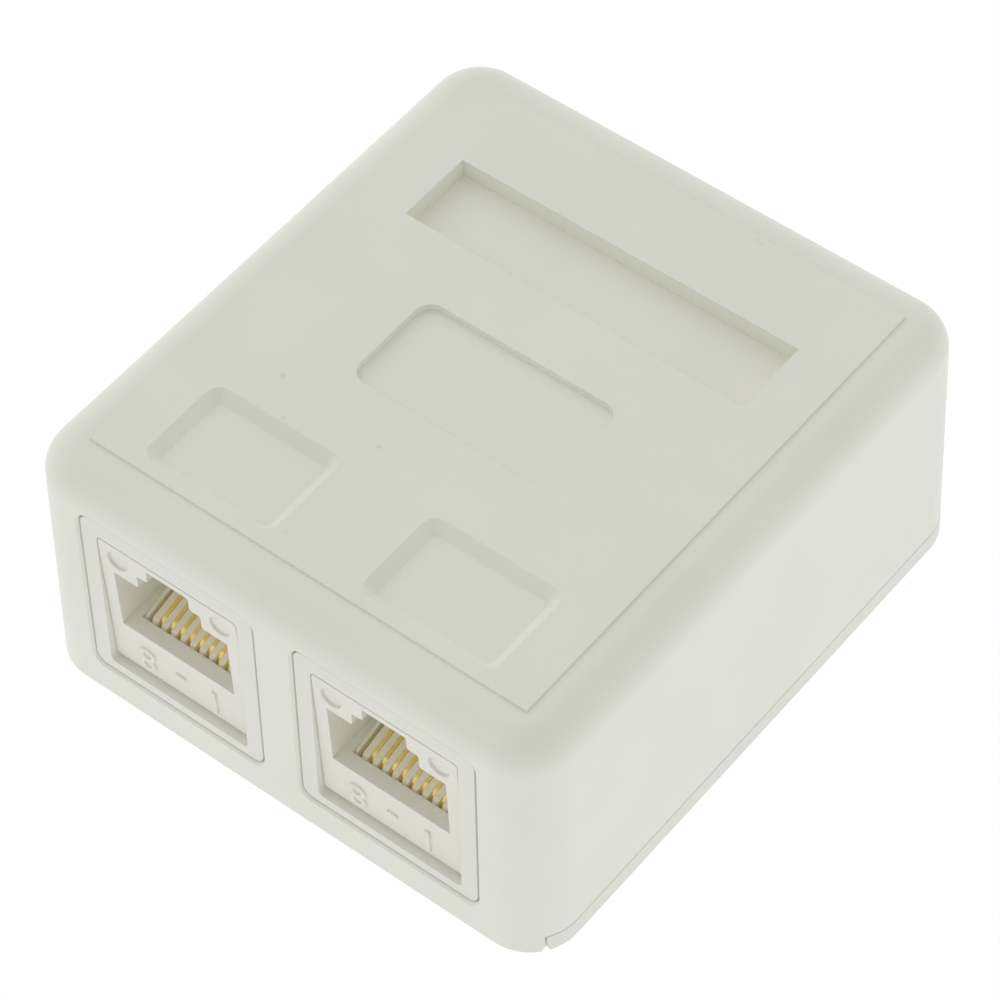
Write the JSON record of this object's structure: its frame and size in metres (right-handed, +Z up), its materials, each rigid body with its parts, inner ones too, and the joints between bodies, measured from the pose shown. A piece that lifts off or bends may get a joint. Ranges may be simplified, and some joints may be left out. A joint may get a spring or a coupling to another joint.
{
  "type": "surface mount jack box",
  "caption": "Low rectangular surface mount box with a swing-off cover, label recesses on top and modular jack sockets side by side in the front.",
  "frame": {"origin": "middle of the underside, on the surface that the box is fixed to", "axes": "+Z up and away from the mounting surface; -Y out of the sockets; +X to the right when facing the sockets"},
  "size_m": [0.053, 0.058, 0.026],
  "materials": {
    "cover_plastic": "warm off-white moulded plastic, fine satin texture",
    "base_plastic": "warm off-white moulded plastic",
    "jack_plastic": "off-white moulded plastic",
    "carrier_plastic": "off-white moulded plastic",
    "contact_gold": "gold plated spring wire",
    "board_laminate": "green solder mask",
    "terminal_metal": "tin plated spring bronze",
    "cap_plastic": "off-white moulded plastic"
  },
  "bodies": {
    "base": {"base_plate": "base_plastic", "left_jack_housing": "jack_plastic", "left_jack_contact_carrier": "carrier_plastic", "left_jack_circuit_board": "board_laminate", "left_jack_terminal_block": "jack_plastic", "left_jack_contact_1": "contact_gold", "left_jack_contact_2": "contact_gold", "left_jack_contact_3": "contact_gold", "left_jack_contact_4": "contact_gold", "left_jack_contact_5": "contact_gold", "left_jack_contact_6": "contact_gold", "left_jack_contact_7": "contact_gold", "left_jack_contact_8": "contact_gold", "left_jack_terminal_1": "terminal_metal", "left_jack_terminal_2": "terminal_metal", "left_jack_terminal_3": "terminal_metal", "left_jack_terminal_4": "terminal_metal", "left_jack_terminal_5": "terminal_metal", "left_jack_terminal_6": "terminal_metal", "left_jack_terminal_7": "terminal_metal", "left_jack_terminal_8": "terminal_metal", "right_jack_housing": "jack_plastic", "right_jack_contact_carrier": "carrier_plastic", "right_jack_circuit_board": "board_laminate", "right_jack_terminal_block": "jack_plastic", "right_jack_contact_1": "contact_gold", "right_jack_contact_2": "contact_gold", "right_jack_contact_3": "contact_gold", "right_jack_contact_4": "contact_gold", "right_jack_contact_5": "contact_gold", "right_jack_contact_6": "contact_gold", "right_jack_contact_7": "contact_gold", "right_jack_contact_8": "contact_gold", "right_jack_terminal_1": "terminal_metal", "right_jack_terminal_2": "terminal_metal", "right_jack_terminal_3": "terminal_metal", "right_jack_terminal_4": "terminal_metal", "right_jack_terminal_5": "terminal_metal", "right_jack_terminal_6": "terminal_metal", "right_jack_terminal_7": "terminal_metal", "right_jack_terminal_8": "terminal_metal"},
    "cover": {"cover": "cover_plastic"},
    "left_wire_cap": {"left_jack_wire_cap": "cap_plastic"},
    "right_wire_cap": {"right_jack_wire_cap": "cap_plastic"}
  },
  "joints": [
    {"name": "cover_swing", "type": "hinge", "parent": "base", "child": "cover", "pos_m": [0, -0.029, 0], "axis": [1, 0, 0], "range_deg": [0, 75]},
    {"name": "left_cap_pull", "type": "slide", "parent": "base", "child": "left_wire_cap", "axis": [0, 0.9998, 0.0175], "range_m": [0, 0.01]},
    {"name": "right_cap_pull", "type": "slide", "parent": "base", "child": "right_wire_cap", "axis": [0, 0.9998, 0.0175], "range_m": [0, 0.01]}
  ]
}
